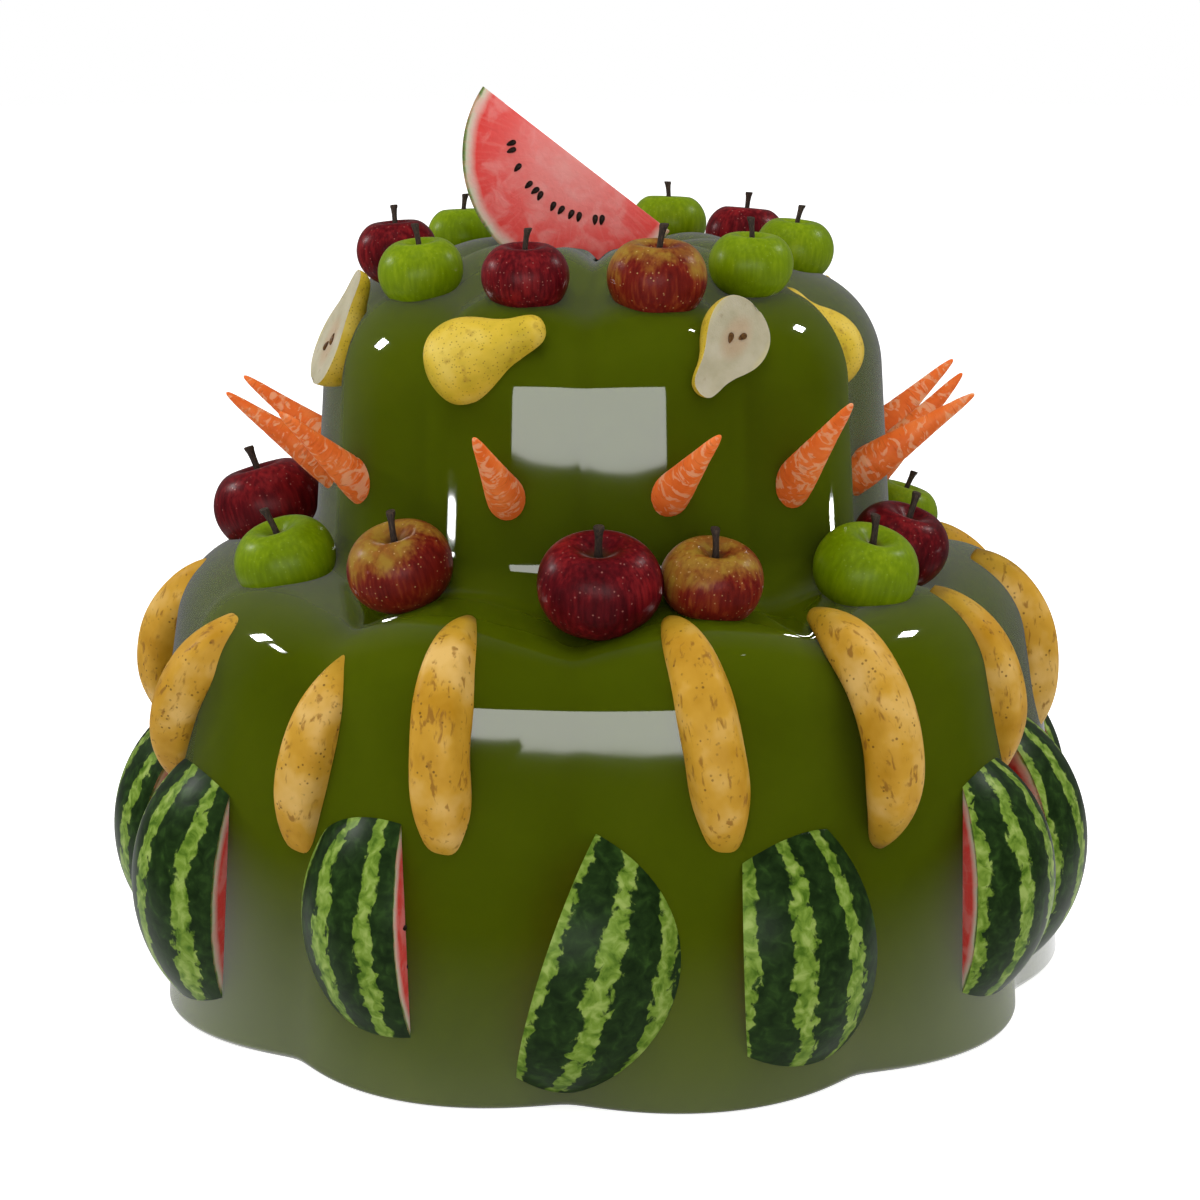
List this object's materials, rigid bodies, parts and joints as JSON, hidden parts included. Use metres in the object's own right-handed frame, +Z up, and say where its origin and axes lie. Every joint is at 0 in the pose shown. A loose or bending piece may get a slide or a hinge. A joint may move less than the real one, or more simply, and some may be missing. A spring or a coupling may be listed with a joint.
{
  "type": "moulded jelly",
  "caption": "Tall green moulded jelly in two fluted tiers, studded with apples, pear halves, carrots, bananas and melon wedges, with a melon slice on top.",
  "frame": {"origin": "centre of the jelly's foot, on the surface it stands on", "axes": "+Z up along the jelly's axis, and the front faces -Y"},
  "size_m": [0.6897, 0.6901, 0.6176],
  "materials": {
    "green_jelly": "wet, glossy, faintly translucent green gel",
    "dark_red_apple": "satin apple skin, dark red with pale specks",
    "green_apple": "satin apple skin, yellow-green",
    "red_and_gold_apple": "satin apple skin, red streaks over gold",
    "yellow_pear": "pale yellow pear skin, or cream cut flesh with seeds",
    "carrot": "peeled carrot, orange with pale streaks",
    "banana": "ripe banana skin with brown specks",
    "melon_rind": "striped green melon rind, with pink flesh on the cut faces"
  },
  "bodies": {
    "root": {"jelly": "green_jelly", "melon_slice": "melon_rind", "apple_top_1": "green_apple", "apple_top_2": "dark_red_apple", "apple_top_3": "green_apple", "apple_top_4": "dark_red_apple", "apple_top_5": "red_and_gold_apple", "apple_top_6": "green_apple", "apple_top_7": "green_apple", "apple_top_8": "dark_red_apple", "apple_top_9": "green_apple", "apple_top_10": "red_and_gold_apple", "apple_step_1": "dark_red_apple", "apple_step_2": "green_apple", "apple_step_3": "red_and_gold_apple", "apple_step_4": "dark_red_apple", "apple_step_5": "red_and_gold_apple", "apple_step_6": "green_apple", "apple_step_7": "dark_red_apple", "apple_step_8": "green_apple", "apple_step_9": "red_and_gold_apple", "pear_half_1": "yellow_pear", "pear_half_2": "yellow_pear", "pear_half_3": "yellow_pear", "pear_half_4": "yellow_pear", "pear_half_5": "yellow_pear", "carrot_1": "carrot", "carrot_2": "carrot", "carrot_3": "carrot", "carrot_4": "carrot", "carrot_5": "carrot", "carrot_6": "carrot", "carrot_7": "carrot", "carrot_8": "carrot", "carrot_9": "carrot", "carrot_10": "carrot", "carrot_11": "carrot", "carrot_12": "carrot", "banana_1": "banana", "banana_2": "banana", "banana_3": "banana", "banana_4": "banana", "banana_5": "banana", "banana_6": "banana", "banana_7": "banana", "banana_8": "banana", "banana_9": "banana", "melon_wedge_1": "melon_rind", "melon_wedge_2": "melon_rind", "melon_wedge_3": "melon_rind", "melon_wedge_4": "melon_rind", "melon_wedge_5": "melon_rind", "melon_wedge_6": "melon_rind", "melon_wedge_7": "melon_rind", "melon_wedge_8": "melon_rind", "melon_wedge_9": "melon_rind", "melon_wedge_10": "melon_rind", "melon_wedge_11": "melon_rind", "melon_wedge_12": "melon_rind", "melon_wedge_13": "melon_rind"}
  },
  "joints": []
}
